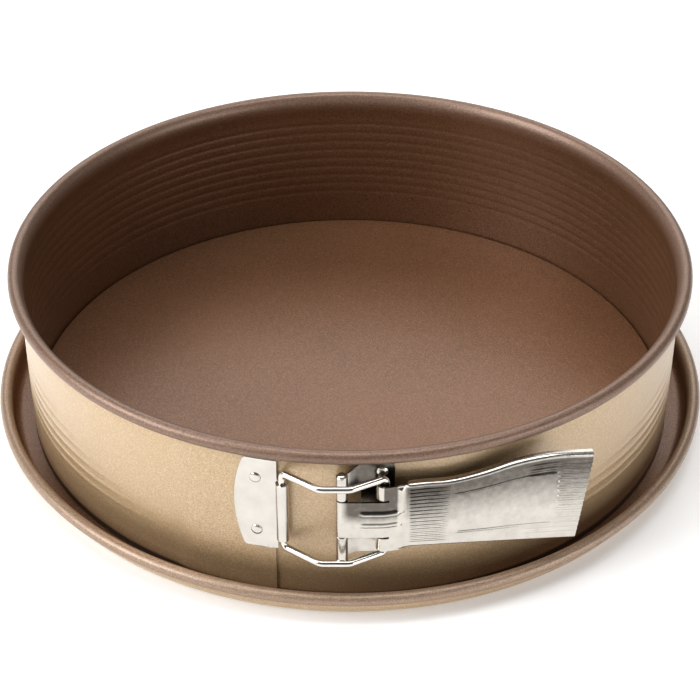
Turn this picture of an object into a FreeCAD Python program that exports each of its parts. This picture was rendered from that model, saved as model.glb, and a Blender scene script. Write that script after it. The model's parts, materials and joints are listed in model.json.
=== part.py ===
import FreeCAD, Part
import math
import os

# Springform pan: a coated steel base plate with a raised floor and a drip rim, a coated
# side band that stands in the base's gutter, and a plated over-centre clasp.
# Millimetres, +Z up. The origin is the centre of the base's underside and the clasp is at -Y.
# Azimuths are degrees from the front (-Y), positive towards +X.

DIMENSIONS = {
    # base plate
    "floor_top": 3.3, "floor_edge_radius": 129.85, "base_sheet": 0.6, "floor_fillet": 0.8,
    "gutter_bend": 4.0, "base_rim_inner": 138.9, "base_bead_radius": 2.4, "base_bead_height": 10.0,
    # side band
    "band_inner": 130.0, "band_sheet": 0.55, "band_foot": 1.2, "band_bead_radius": 2.45,
    "band_bead_height": 66.9, "neck_inner": 129.1, "neck_low": 58.0, "neck_turn": 36.0,
    "rib_first": 18.9, "rib_pitch": 4.4, "rib_total": 9, "rib_depth": 0.25, "rib_width": 1.4, "band_gap": 0.2,
    "tail_end_azimuth": 25.4, "joggle_azimuth": 26.0, "joggle_span": 0.5, "joggle_offset": 0.75,
    "lap_end_azimuth": 11.5, "lap_top": 64.0, "bead_curl_end": 125.0,
    # clasp, common
    "clasp_height": 43.3, "clasp_sheet": 0.8, "tube_outer": 2.1, "plate_clearance": 0.05,
    "rivet_shank": 1.5, "rivet_head": 2.1, "rivet_head_height": 0.8, "rivet_hole_clearance": 0.02,
    "rivet_sink": 0.3, "drill_start": 3.0, "drill_length": 8.0, "bore_length": 60.0, "web_overlap": 0.2,
    # hinge plate on the left end of the band
    "hinge_axis_x": -23.4, "hinge_axis_y": -131.9, "hinge_plate_left": 17.8,
    "hinge_plate_right": 11.0, "hinge_plate_low": 24.0, "hinge_plate_high": 63.4, "hinge_tube_low": 30.4,
    "hinge_tube_high": 55.3, "hinge_tube_outer": 2.3, "hinge_rivet_azimuth": 14.3, "hinge_rivet_spread": 11.7,
    "hinge_bow_radius": 55.0, "hinge_bow_depth": 4.0,
    # bail
    "wire_radius": 1.25, "wire_bore": 1.4, "bail_half": 16.5, "bail_bend": 2.2,
    "bail_crown_left": -10.5, "bail_crown_right": 0.0, "bail_crown_y": -141.1,
    "bail_crown_bend": 5.0, "bail_end_gap": 1.6, "hook_x": 12.5, "hook_y": -134.6,
    # lever bracket on the right end of the band
    "pivot_x": -2.8, "pivot_y": -135.5, "bracket_left": 0.7, "bracket_right": 6.8,
    "bracket_low": 24.0, "bracket_high": 63.8, "knuckle_high": 61.5, "knuckle_join": 1.2,
    "bracket_rivet_azimuth": 4.8, "bracket_rivet_spread": 16.6, "pin_radius": 1.2, "pin_fit": 0.02,
    "pin_end": 0.6,
    # lever
    "eye_bore": 1.26, "eye_low": 35.4, "eye_high": 51.2, "eye_clearance": 0.3,
    "wing_left": 8.95, "wing_low": 29.1, "wing_high": 57.5, "slit": 0.6, "slit_end": 13.5,
    "curl_inner": 2.15, "curl_x": 11.8, "curl_y": -134.6, "curl_lip_angle": 90.0,
    "lever_knee": 12.0, "lever_slope": 0.23, "lever_neck": 18.0, "lever_end": 84.8,
    "lever_end_high": 59.5, "lever_end_low_x": 80.3, "lever_end_low": 21.9,
    "lever_blank_low": 10.0, "lever_blank_front": 100.0, "lever_blank_size": 60.0, "lever_blank_spare": 2.0,
}

# the lever's upper edge from the neck to near its end, as x and height
LEVER_FLARE = ((26.0, 57.1), (34.0, 56.4), (47.0, 57.9), (57.5, 60.3), (68.5, 61.2))

doc = FreeCAD.newDocument("springform_pan")
sheet = doc.addObject("Spreadsheet::Sheet", "dimensions")
for row, (alias, value) in enumerate(DIMENSIONS.items(), start=1):
    sheet.set(f"A{row}", alias)
    sheet.set(f"B{row}", str(value))
    sheet.setAlias(f"B{row}", alias)
doc.recompute()


def size(alias):
    """A driving dimension, read from the sheet."""
    return float(sheet.get(alias))


def on_circle(radius, azimuth):
    """The point at this radius and azimuth, as (x, y)."""
    turn = math.radians(azimuth)
    return radius * math.sin(turn), -radius * math.cos(turn)


def about_z(azimuth):
    """A placement that turns +X to face this azimuth."""
    return FreeCAD.Placement(FreeCAD.Vector(0, 0, 0), FreeCAD.Rotation(FreeCAD.Vector(0, 0, 1), azimuth - 90))


def line(start, end):
    """A sketch line between two points."""
    return Part.LineSegment(FreeCAD.Vector(*start, 0), FreeCAD.Vector(*end, 0))


def arc(centre, radius, first, last):
    """A sketch arc, counter-clockwise from one angle in degrees to another."""
    circle = Part.Circle(FreeCAD.Vector(*centre, 0), FreeCAD.Vector(0, 0, 1), radius)
    return Part.ArcOfCircle(circle, math.radians(first), math.radians(last))


def polar(centre, radius, angle):
    """The point of a circle at an angle in degrees."""
    turn = math.radians(angle)
    return centre[0] + radius * math.cos(turn), centre[1] + radius * math.sin(turn)


def chain(points):
    """Sketch lines through the points, in order."""
    return [line(start, end) for start, end in zip(points, points[1:])]


def sketch_in(body, name, plane, edges):
    """A sketch on one of the body's own origin planes."""
    sketch = body.newObject("Sketcher::SketchObject", name)
    origin_plane = next(f for f in body.Origin.OriginFeatures if f.Role == plane)
    sketch.AttachmentSupport = [(origin_plane, "")]
    sketch.MapMode = "FlatFace"
    sketch.addGeometry(edges, False)
    return sketch


def revolve(body, name, edges, angle, backwards=False):
    """Turn a profile, drawn as radius and height, about the pan's axis."""
    profile = sketch_in(body, name + "_profile", "XZ_Plane", edges)
    turned = body.newObject("PartDesign::Revolution", name)
    turned.Profile = profile
    turned.ReferenceAxis = (profile, ["V_Axis"])
    turned.Angle = angle
    turned.Reversed = backwards
    return turned


def pad(body, name, plane, edges, length, offset):
    """Pad a closed outline by a length, from a plane moved along its normal."""
    outline = sketch_in(body, name + "_outline", plane, edges)
    outline.AttachmentOffset = FreeCAD.Placement(FreeCAD.Vector(0, 0, offset), FreeCAD.Rotation())
    padded = body.newObject("PartDesign::Pad", name)
    padded.Profile = outline
    padded.Length = length
    return padded


def cylinder(name, radius, length, base, azimuth=None):
    """A round bar, upright or pointing outward at an azimuth. Radius and length are sheet formulas."""
    bar = doc.addObject("Part::Cylinder", name)
    bar.setExpression("Radius", radius)
    bar.setExpression("Height", length)
    turn = FreeCAD.Rotation()
    if azimuth is not None:
        outward = FreeCAD.Vector(*on_circle(1, azimuth), 0)
        turn = FreeCAD.Rotation(FreeCAD.Vector(0, 0, 1), outward)
    bar.Placement = FreeCAD.Placement(FreeCAD.Vector(*base), turn)
    return bar


def fuse(name, shapes):
    """One solid from several that meet."""
    joined = doc.addObject("Part::MultiFuse", name)
    joined.Shapes = shapes
    joined.Refine = True
    return joined


def cut(name, base, tools):
    """A solid with holes."""
    tool = tools[0] if len(tools) == 1 else fuse(name + "_tools", tools)
    drilled = doc.addObject("Part::Cut", name)
    drilled.Base = base
    drilled.Tool = tool
    return drilled


def sheet_sector(name, inner, outer, first, last, low, high):
    """A curved plate about the pan's axis, between two azimuths and two heights."""
    body = doc.addObject("PartDesign::Body", name)
    corners = [(inner, low), (outer, low), (outer, high), (inner, high), (inner, low)]
    revolve(body, name + "_sector", chain(corners), last - first)
    body.Placement = about_z(first)
    return body


# ---------------------------------------------------------------- base plate

def base_profile():
    """Raised floor, skirt, gutter, rim wall and the bead rolled outward at its top."""
    thick = size("base_sheet")
    top = size("floor_top")
    edge = size("floor_edge_radius")
    soft = size("floor_fillet")
    bend = size("gutter_bend")
    rim = size("base_rim_inner")
    bead = size("base_bead_radius")
    bead_at = (rim + bead, size("base_bead_height"))
    bend_at = (rim - bend, thick + bend)
    curl_end = -size("bead_curl_end")
    inner_bead = bead - thick
    edges = chain([(0, top - thick), (0, top), (edge - soft, top)])
    edges.append(arc((edge - soft, top - soft), soft, 0, 90))
    edges += chain([(edge, top - soft), (edge, thick), (bend_at[0], thick)])
    edges.append(arc(bend_at, bend, -90, 0))
    edges.append(line((rim, bend_at[1]), (rim, bead_at[1])))
    edges.append(arc(bead_at, bead, curl_end, 180))
    edges.append(line(polar(bead_at, bead, curl_end), polar(bead_at, inner_bead, curl_end)))
    edges.append(arc(bead_at, inner_bead, curl_end, 180))
    edges.append(line((rim + thick, bead_at[1]), (rim + thick, bend_at[1])))
    edges.append(arc(bend_at, bend + thick, -90, 0))
    edges += chain([(bend_at[0], 0), (edge - thick, 0), (edge - thick, top - thick), (0, top - thick)])
    return edges


def make_base_plate():
    body = doc.addObject("PartDesign::Body", "base_plate")
    revolve(body, "base_sheet_form", base_profile(), 360)
    return body


# ---------------------------------------------------------------- side band

def rib_steps(radius):
    """Points up a band face at this radius, with the ribs pressed outward."""
    half = size("rib_width") / 2
    points = []
    for index in range(int(size("rib_total"))):
        middle = size("rib_first") + index * size("rib_pitch")
        crest = radius + size("rib_depth")
        points += [(radius, middle - half), (crest, middle - half / 2)]
        points += [(crest, middle + half / 2), (radius, middle + half)]
    return points


def band_profile():
    """Ribbed wall, drawn in to a neck and flared into a bead rolled outward along its top."""
    thick = size("band_sheet")
    inner = size("band_inner")
    outer = inner + thick
    foot = size("band_foot")
    neck_low = size("neck_low")
    neck = size("neck_inner")
    bead = size("band_bead_radius")
    bead_at = (inner + bead, size("band_bead_height"))
    curl_end = -size("bead_curl_end")
    # the flare is an arc that leaves the neck upright and meets the bead in line
    turn = math.radians(size("neck_turn"))
    reach = (bead_at[0] - neck - bead) / (1 - math.cos(turn))
    flare = reach + bead
    flare_at = (neck + flare, bead_at[1] - reach * math.sin(turn))
    meet = 180 - size("neck_turn")
    edges = chain([(inner, foot)] + rib_steps(inner) + [(inner, neck_low), (neck, flare_at[1])])
    edges.append(arc(flare_at, flare, meet, 180))
    edges.append(arc(bead_at, bead, curl_end, meet))
    edges.append(line(polar(bead_at, bead, curl_end), polar(bead_at, bead - thick, curl_end)))
    edges.append(arc(bead_at, bead - thick, curl_end, meet))
    edges.append(arc(flare_at, flare - thick, meet, 180))
    edges += chain([(neck + thick, flare_at[1]), (outer, neck_low)] + rib_steps(outer)[::-1])
    edges += chain([rib_steps(outer)[0], (outer, foot), (inner, foot)])
    return edges


def lap_profile(inner, outer):
    """Ribbed wall without a bead, which lies outside the band's tail."""
    low = size("band_foot")
    high = size("lap_top")
    points = [(inner, low)] + rib_steps(inner) + [(inner, high), (outer, high)]
    return chain(points + rib_steps(outer)[::-1] + [(outer, low), (inner, low)])


def gap_angle():
    """Half the gap at the back of the band, as an angle."""
    return math.degrees(size("band_gap") / 2 / size("band_inner"))


def rivet_tools(prefix, azimuth, spread):
    """The two radial holes for a pair of rivets, through everything near the wall."""
    tools = []
    for side, offset in (("upper", spread), ("lower", -spread)):
        start = on_circle(size("band_inner") - size("drill_start"), azimuth)
        base = (*start, size("clasp_height") + offset)
        radius = "dimensions.rivet_shank + dimensions.rivet_hole_clearance"
        tools.append(cylinder(f"{prefix}_{side}", radius, "dimensions.drill_length", base, azimuth))
    return tools


def make_side_band_right():
    """From the back, round the right side and past the clasp to the end of the tail."""
    body = doc.addObject("PartDesign::Body", "band_right_form")
    start = -size("tail_end_azimuth")
    revolve(body, "band_right_wall", band_profile(), 180 - gap_angle() - start)
    body.Placement = about_z(start)
    holes = rivet_tools("right_hole", size("bracket_rivet_azimuth"), size("bracket_rivet_spread"))
    return cut("side_band_right", body, holes)


def make_side_band_left():
    """From the back, round the left side, then stepped outward to lap over the tail."""
    inner = size("band_inner")
    outer = inner + size("band_sheet")
    step = size("joggle_offset")
    joggle = size("joggle_azimuth")
    body = doc.addObject("PartDesign::Body", "band_left_form")
    revolve(body, "band_left_wall", band_profile(), 180 - gap_angle() - joggle, backwards=True)
    revolve(body, "band_left_step", lap_profile(inner, outer + step), size("joggle_span"), backwards=True)
    lap = lap_profile(inner + step, outer + step)
    revolve(body, "band_left_lap", lap, joggle - size("lap_end_azimuth"))
    body.Placement = about_z(-joggle)
    holes = rivet_tools("left_hole", -size("hinge_rivet_azimuth"), size("hinge_rivet_spread"))
    return cut("side_band_left", body, holes)


# ---------------------------------------------------------------- clasp

def lap_face():
    """Outermost radius of the ribs where the left end laps over the tail."""
    wall = size("band_inner") + size("band_sheet") + size("rib_depth")
    return wall + size("joggle_offset") + size("plate_clearance")


def band_face():
    """Outermost radius of the ribs of the right end."""
    return size("band_inner") + size("band_sheet") + size("rib_depth") + size("plate_clearance")


def make_hinge_plate():
    """A plate riveted to the left end, rolled into a tube round the bail's inner leg."""
    inner = lap_face()
    outer = inner + size("clasp_sheet")
    left = -size("hinge_plate_left")
    right = -size("hinge_plate_right")
    low = size("hinge_plate_low")
    high = size("hinge_plate_high")
    tube_low = size("hinge_tube_low")
    tube_high = size("hinge_tube_high")
    axis = (size("hinge_axis_x"), size("hinge_axis_y"))
    axis_azimuth = math.degrees(math.atan2(axis[0], -axis[1]))
    plate = sheet_sector("hinge_leaf", inner, outer, left, right, low, high)
    web_left = right - size("web_overlap")
    web = sheet_sector("hinge_web", inner, outer, web_left, axis_azimuth, tube_low, tube_high)
    tube_length = "dimensions.hinge_tube_high - dimensions.hinge_tube_low"
    tube = cylinder("hinge_tube", "dimensions.hinge_tube_outer", tube_length, (*axis, tube_low))
    whole = fuse("hinge_blank", [plate, web, tube])
    # the left edge is cut to a shallow bow with its belly at mid height
    middle = (left + right) / 2
    belly = FreeCAD.Vector(*on_circle(inner - size("hinge_bow_depth"), left), size("clasp_height"))
    across = FreeCAD.Vector(*on_circle(size("hinge_bow_radius"), middle + 90), 0)
    bow = cylinder("hinge_bow", "dimensions.hinge_bow_radius", "3 * dimensions.hinge_bow_depth",
                   belly + across, middle)
    keep = doc.addObject("Part::Common", "hinge_trimmed")
    keep.Base = whole
    keep.Tool = bow
    bore_low = size("clasp_height") - size("bore_length") / 2
    bore = cylinder("hinge_bore", "dimensions.wire_bore", "dimensions.bore_length", (*axis, bore_low))
    holes = rivet_tools("hinge_hole", -size("hinge_rivet_azimuth"), size("hinge_rivet_spread"))
    return cut("hinge_plate", keep, [bore] + holes)


def make_rivet(name, azimuth, height, seat, inner):
    """A domed head at a seat radius, on a shank that ends at an inner radius."""
    head = size("rivet_head")
    rise = size("rivet_head_height")
    shank = size("rivet_shank")
    dome = (head ** 2 + rise ** 2) / (2 * rise)
    half = math.degrees(math.asin(head / dome))
    body = doc.addObject("PartDesign::Body", name)
    edges = [line((0, inner), (shank, inner)), line((shank, inner), (shank, seat)),
             line((shank, seat), (head, seat)),
             arc((0, seat + rise - dome), dome, 90 - half, 90),
             line((0, seat + rise), (0, inner))]
    revolve(body, name + "_turned", edges, 360)
    outward = FreeCAD.Vector(*on_circle(1, azimuth), 0)
    turn = FreeCAD.Rotation(FreeCAD.Vector(0, 0, 1), outward)
    body.Placement = FreeCAD.Placement(FreeCAD.Vector(0, 0, height), turn)
    return body


def make_rivets():
    """Four rivets whose inner ends stop just short of the band's inner face."""
    sink = size("rivet_sink")
    rivets = {}
    pairs = (
        ("hinge_rivet", -size("hinge_rivet_azimuth"), size("hinge_rivet_spread"),
         lap_face() + size("clasp_sheet"), size("band_inner") + size("joggle_offset") + sink),
        ("bracket_rivet", size("bracket_rivet_azimuth"), size("bracket_rivet_spread"),
         band_face() + size("clasp_sheet"), size("band_inner") + sink),
    )
    for name, azimuth, spread, seat, inner in pairs:
        for side, offset in (("upper", spread), ("lower", -spread)):
            label = f"{name}_{side}"
            height = size("clasp_height") + offset
            rivets[label] = make_rivet(label, azimuth, height, seat, inner)
    return rivets


def rounded_path(points, radii):
    """Straight runs joined by tangent arcs, one radius for each inner point."""
    edges = []
    start = points[0]
    for before, corner, after, radius in zip(points, points[1:], points[2:], radii):
        back = (before - corner).normalize()
        ahead = (after - corner).normalize()
        half = back.getAngle(ahead) / 2
        reach = radius / math.tan(half)
        middle = (back + ahead).normalize() * (radius / math.sin(half) - radius)
        first = corner + back * reach
        last = corner + ahead * reach
        edges.append(Part.LineSegment(start, first).toShape())
        edges.append(Part.Arc(first, corner + middle, last).toShape())
        start = last
    edges.append(Part.LineSegment(start, points[-1]).toShape())
    return Part.Wire(edges)


def make_bail():
    """A closed loop of wire whose ends butt inside the hinge tube."""
    half = size("bail_half")
    middle = size("clasp_height")
    gap = size("bail_end_gap") / 2
    hinge = (size("hinge_axis_x"), size("hinge_axis_y"))
    crown_left = (size("bail_crown_left"), size("bail_crown_y"))
    crown_right = (size("bail_crown_right"), size("bail_crown_y"))
    hook = (size("hook_x"), size("hook_y"))
    upper = [(*hinge, gap), (*hinge, half), (*crown_left, half), (*crown_right, half), (*hook, half)]
    lower = [(x, y, -z) for x, y, z in upper[::-1]]
    points = [FreeCAD.Vector(x, y, middle + z) for x, y, z in upper + lower]
    bend = size("bail_bend")
    crown = size("bail_crown_bend")
    path = rounded_path(points, [bend, crown, crown, bend, bend, crown, crown, bend])
    ring = Part.Wire(Part.makeCircle(size("wire_radius"), points[0], FreeCAD.Vector(0, 0, 1)))
    bail = doc.addObject("Part::Feature", "clasp_bail")
    bail.Shape = path.makePipeShell([ring], True, True)
    bail.Placement = FreeCAD.Placement()
    return bail


def bar_between(start, end, thick):
    """A closed outline, one sheet thick, along the line between two points."""
    along = FreeCAD.Vector(end[0] - start[0], end[1] - start[1], 0).normalize()
    side = FreeCAD.Vector(-along.y, along.x, 0) * (thick / 2)
    corners = [(start[0] + side.x, start[1] + side.y), (end[0] + side.x, end[1] + side.y),
               (end[0] - side.x, end[1] - side.y), (start[0] - side.x, start[1] - side.y)]
    return chain(corners + corners[:1])


def make_lever_bracket():
    """A plate riveted to the right end, bent outward into two knuckles for the pivot pin."""
    inner = band_face()
    outer = inner + size("clasp_sheet")
    low = size("bracket_low")
    pivot = (size("pivot_x"), size("pivot_y"))
    plate = sheet_sector("bracket_leaf", inner, outer, size("bracket_left"), size("bracket_right"),
                         low, size("bracket_high"))
    foot = on_circle((inner + outer) / 2, size("bracket_left") + size("web_overlap"))
    knuckle_side = (pivot[0] + size("knuckle_join"), pivot[1] + size("knuckle_join"))
    parts = [plate]
    clearance = size("eye_clearance")
    spans = (("upper", size("eye_high") + clearance, size("knuckle_high")),
             ("lower", low, size("eye_low") - clearance))
    for side, bottom, top in spans:
        web = doc.addObject("PartDesign::Body", f"bracket_web_{side}")
        outline = bar_between(foot, knuckle_side, size("clasp_sheet"))
        pad(web, f"web_{side}", "XY_Plane", outline, top - bottom, bottom)
        knuckle = cylinder(f"knuckle_{side}", "dimensions.tube_outer", f"{top - bottom} mm", (*pivot, bottom))
        parts += [web, knuckle]
    blank = fuse("bracket_blank", parts)
    bore_low = size("clasp_height") - size("bore_length") / 2
    bore = cylinder("bracket_bore", "dimensions.pin_radius + dimensions.pin_fit", "dimensions.bore_length",
                    (*pivot, bore_low))
    holes = rivet_tools("bracket_hole", size("bracket_rivet_azimuth"), size("bracket_rivet_spread"))
    return cut("lever_bracket", blank, [bore] + holes)


def make_pivot_pin():
    low = size("bracket_low") - size("pin_end")
    length = "dimensions.knuckle_high - dimensions.bracket_low + 2 * dimensions.pin_end"
    return cylinder("pivot_pin", "dimensions.pin_radius", length, (size("pivot_x"), size("pivot_y"), low))


def lever_outline():
    """The lever seen from the front, as x and height: tongue, wings, slits and flared handle."""
    tongue = size("pivot_x")
    eye_low = size("eye_low")
    eye_high = size("eye_high")
    left = size("wing_left")
    slit = size("slit")
    deep = size("slit_end")
    low = size("wing_low")
    high = size("wing_high")
    neck = size("lever_neck")
    end = (size("lever_end"), size("lever_end_high"))
    lower = [(tongue, eye_low), (deep, eye_low), (deep, eye_low - slit), (left, eye_low - slit),
             (left, low), (neck - slit, low), (neck, low + slit),
             (size("lever_end_low_x"), size("lever_end_low")), end]
    upper = [(neck, high), (left, high), (left, eye_high + slit), (deep, eye_high + slit),
             (deep, eye_high), (tongue, eye_high), (tongue, eye_low)]
    flare = [end, *LEVER_FLARE[::-1], (neck, high)]
    curve = Part.BSplineCurve()
    curve.interpolate([FreeCAD.Vector(x, z, 0) for x, z in flare])
    return chain(lower) + [curve] + chain(upper)


def lever_run(offset):
    """Points along the lever seen from above, this far in from its outer face."""
    knee = size("lever_knee")
    face = size("curl_y") - size("curl_inner") - size("clasp_sheet")
    eye_face = size("pivot_y") - size("tube_outer")
    end = size("lever_end") + size("lever_blank_spare")
    return [(size("pivot_x"), eye_face + offset), (knee, face + offset),
            (end, face + offset + size("lever_slope") * (end - knee))]


def curl_profile():
    """The wing's curl round the bail, open towards the handle, seen from above."""
    centre = (size("curl_x"), size("curl_y"))
    inner = size("curl_inner")
    outer = inner + size("clasp_sheet")
    lip = size("curl_lip_angle")
    edges = [arc(centre, outer, lip, 270), arc(centre, inner, lip, 270)]
    edges.append(line(polar(centre, inner, lip), polar(centre, outer, lip)))
    edges.append(line(polar(centre, inner, 270), polar(centre, outer, 270)))
    return edges


def make_clasp_lever():
    """Handle and tongue in one sheet, an eye on the pin and a curl on each wing."""
    strip = doc.addObject("PartDesign::Body", "lever_strip")
    outer_run = lever_run(0)
    inner_run = lever_run(size("clasp_sheet"))
    outline = chain(outer_run + inner_run[::-1] + outer_run[:1])
    pad(strip, "lever_strip_pad", "XY_Plane", outline, size("lever_blank_size"), size("lever_blank_low"))
    front = doc.addObject("PartDesign::Body", "lever_front")
    pad(front, "lever_front_pad", "XZ_Plane", lever_outline(), size("lever_blank_size"),
        size("lever_blank_front"))
    plate = doc.addObject("Part::Common", "lever_plate")
    plate.Base = strip
    plate.Tool = front
    pivot = (size("pivot_x"), size("pivot_y"))
    eye = cylinder("lever_eye", "dimensions.tube_outer", "dimensions.eye_high - dimensions.eye_low",
                   (*pivot, size("eye_low")))
    parts = [plate, eye]
    slit = size("slit")
    spans = (("upper", size("eye_high") + slit, size("wing_high")),
             ("lower", size("wing_low"), size("eye_low") - slit))
    for side, bottom, top in spans:
        curl = doc.addObject("PartDesign::Body", f"curl_{side}")
        pad(curl, f"curl_{side}_pad", "XY_Plane", curl_profile(), top - bottom, bottom)
        parts.append(curl)
    blank = fuse("lever_blank", parts)
    bore_low = size("clasp_height") - size("bore_length") / 2
    bore = cylinder("lever_bore", "dimensions.eye_bore", "dimensions.bore_length", (*pivot, bore_low))
    return cut("clasp_lever", blank, [bore])


# ---------------------------------------------------------------- build, check, export

nodes = {
    "base_plate": make_base_plate(),
    "side_band_right": make_side_band_right(),
    "side_band_left": make_side_band_left(),
    "hinge_plate": make_hinge_plate(),
    "clasp_bail": make_bail(),
    "lever_bracket": make_lever_bracket(),
    "pivot_pin": make_pivot_pin(),
    "clasp_lever": make_clasp_lever(),
}
nodes.update(make_rivets())
for name, node in nodes.items():
    node.Label = name
doc.recompute()

for item in doc.Objects:
    if "Invalid" in item.State or "Error" in item.State:
        raise RuntimeError(f"{item.Name} did not build: {item.State}")
for name, node in nodes.items():
    if node.Shape.isNull() or not node.Shape.isValid() or len(node.Shape.Solids) != 1:
        raise RuntimeError(f"{name} is not one valid solid")

os.makedirs("parts", exist_ok=True)
for name, node in nodes.items():
    node.Shape.exportStep(f"parts/{name}.step")
    box = node.Shape.BoundBox
    print(f"{name}: {node.Shape.Volume:.0f} mm3, x {box.XMin:.2f} {box.XMax:.2f}, "
          f"y {box.YMin:.2f} {box.YMax:.2f}, z {box.ZMin:.2f} {box.ZMax:.2f}")
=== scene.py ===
"""A springform pan on a pale floor: the CAD frame dressed with detailed sheet metal and coatings."""
import json
import math

import bpy
import bmesh
import numpy as np
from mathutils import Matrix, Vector


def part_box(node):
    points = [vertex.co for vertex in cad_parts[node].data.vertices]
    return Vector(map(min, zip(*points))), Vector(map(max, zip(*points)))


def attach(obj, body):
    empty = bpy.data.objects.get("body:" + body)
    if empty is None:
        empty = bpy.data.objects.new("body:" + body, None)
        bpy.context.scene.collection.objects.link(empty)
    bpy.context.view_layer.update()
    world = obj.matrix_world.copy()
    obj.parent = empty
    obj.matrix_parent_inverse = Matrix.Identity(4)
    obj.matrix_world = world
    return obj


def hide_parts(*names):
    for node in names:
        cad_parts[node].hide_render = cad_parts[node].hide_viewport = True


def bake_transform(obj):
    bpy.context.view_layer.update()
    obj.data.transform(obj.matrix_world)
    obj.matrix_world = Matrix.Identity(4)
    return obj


MM = 0.001

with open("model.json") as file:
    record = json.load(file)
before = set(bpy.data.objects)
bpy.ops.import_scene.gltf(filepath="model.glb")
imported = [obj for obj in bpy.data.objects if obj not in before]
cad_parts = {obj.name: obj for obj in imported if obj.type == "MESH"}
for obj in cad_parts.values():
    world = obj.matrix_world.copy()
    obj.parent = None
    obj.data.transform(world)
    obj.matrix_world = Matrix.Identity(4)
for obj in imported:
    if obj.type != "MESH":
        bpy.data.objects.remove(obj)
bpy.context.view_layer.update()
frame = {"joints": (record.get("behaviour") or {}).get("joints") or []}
joints = {joint["name"]: joint for joint in frame["joints"]}


def joint_xy(name):
    """Where an upright joint's axis stands, in millimetres."""
    return joints[name]["pos_m"][0] / MM, joints[name]["pos_m"][1] / MM


def node_box(node):
    """A CAD node's lowest and highest corner, in millimetres."""
    low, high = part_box(node)
    return low / MM, high / MM


# ---------------------------------------------------------------- driving dimensions, in millimetres

BASE_HIGH = node_box("base_plate")[1]
BAND_LOW, BAND_HIGH = node_box("side_band_right")
HINGE_LOW, HINGE_HIGH = node_box("hinge_plate")
BRACKET_LOW, BRACKET_HIGH = node_box("lever_bracket")
BAIL_LOW, BAIL_HIGH = node_box("clasp_bail")
PIVOT = joint_xy("lever_swing")
HINGE = joint_xy("bail_swing")

# the base plate: radii of the bead and the bends are of the coated upper face
BASE_SHEET = 0.6
BASE_BEAD = 2.4
FLOOR_TOP = 3.3
FLOOR_EDGE = 129.45
FLOOR_EDGE_BEND = 0.6
FLOOR_FOOT_BEND = 0.5
GUTTER_BEND = 4.0

# the side band: the wall leans in by the neck below its bead
BAND_SHEET = 0.55
BAND_BEAD = 2.45
BAND_INNER = BAND_HIGH.y - 2 * BAND_BEAD
NECK_LEAN = 0.9
NECK_INNER = BAND_INNER - NECK_LEAN
NECK_LOW = 57.0
LAP_TOP = 64.0
JOGGLE_OFFSET = 0.75
RIB_FIRST = 18.9
RIB_PITCH = 4.4
RIB_TOTAL = 9
RIB_DEPTH = 0.25
RIB_HALF_WIDTH = 0.34 * RIB_PITCH

# the clasp: tube radii are outer ones, and the plate face is the outer face of a plate on the single band
CLASP_SHEET = 0.8
PLATE_GAP = 0.05
CLASP_MIDDLE = (BAIL_LOW.z + BAIL_HIGH.z) / 2
PLATE_FACE = BAND_INNER + BAND_SHEET + RIB_DEPTH + PLATE_GAP + CLASP_SHEET
HINGE_TUBE_RADIUS = 2.3
HINGE_TUBE_LOW = 30.4
HINGE_TUBE_HIGH = 55.3
PIVOT_TUBE_RADIUS = 2.1
KNUCKLE_HIGH = 61.5
KNUCKLE_GAP_LOW = 35.1
KNUCKLE_GAP_HIGH = 51.5
WIRE_RADIUS = 1.25

# the lever: x of its stations, how it leans and turns away, heights of its eye and wings, and the bail's curl
LEVER_KNEE = 12.0
LEVER_NECK = 18.0
LEVER_FORK = 13.5
LEVER_END_LOW = 80.3
LEVER_END_HIGH = 84.8
LEVER_LEAN = 0.01
LEVER_SLOPE = 0.23
KNEE_SOFTNESS = 0.8
EYE = (35.4, 51.2)
WING = (29.1, 57.5)
CURL = (11.8, -134.6)
CURL_RADIUS = 2.95
SLIT = 0.6

# azimuths on the band, in degrees from the front towards +X
JOGGLE = -26.0
BEAD_END = -25.43
TAIL_END = -25.4
HINGE_LEFT = -17.8
LAP_END = -11.5
HINGE_RIGHT = -11.0
BRACKET_LEFT = 1.6
BRACKET_RIGHT = 6.75
BACK_SEAM = 153.0


# ---------------------------------------------------------------- materials

def node_tree(material):
    """The nodes and links of a material, and its Principled shader."""
    material.use_nodes = True
    tree = material.node_tree
    return tree, tree.nodes["Principled BSDF"]


def new_node(tree, kind, **values):
    """A shader node with its sockets, or else its settings, set by name."""
    node = tree.nodes.new(kind)
    for key, value in values.items():
        if key in node.inputs:
            node.inputs[key].default_value = value
        else:
            setattr(node, key, value)
    return node


def mix_colours(tree, factor, first, second):
    """A colour mix whose factor is a link; each colour is a value or a link."""
    mix = tree.nodes.new("ShaderNodeMix")
    mix.data_type = "RGBA"
    tree.links.new(factor, mix.inputs[0])
    for socket, colour in ((mix.inputs[6], first), (mix.inputs[7], second)):
        if isinstance(colour, tuple):
            socket.default_value = (*colour, 1)
        else:
            tree.links.new(colour, socket)
    return mix.outputs[2]


def ramp(tree, value, low, high):
    """Spread a value so that low becomes 0 and high becomes 1."""
    spread = new_node(tree, "ShaderNodeMapRange", clamp=True)
    spread.inputs["From Min"].default_value = low
    spread.inputs["From Max"].default_value = high
    tree.links.new(value, spread.inputs["Value"])
    return spread.outputs["Result"]


def rest_position(tree):
    """Where a point of the piece stood when it was made, in metres, however the piece has moved or bent."""
    return new_node(tree, "ShaderNodeAttribute", attribute_name="made_at").outputs["Vector"]


def grain(tree, position, scale, detail=2.0):
    """Smooth noise between 0 and 1; scale is in repeats per metre."""
    noise = new_node(tree, "ShaderNodeTexNoise", Scale=scale, Detail=detail)
    tree.links.new(position, noise.inputs["Vector"])
    return noise.outputs["Fac"]


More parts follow.
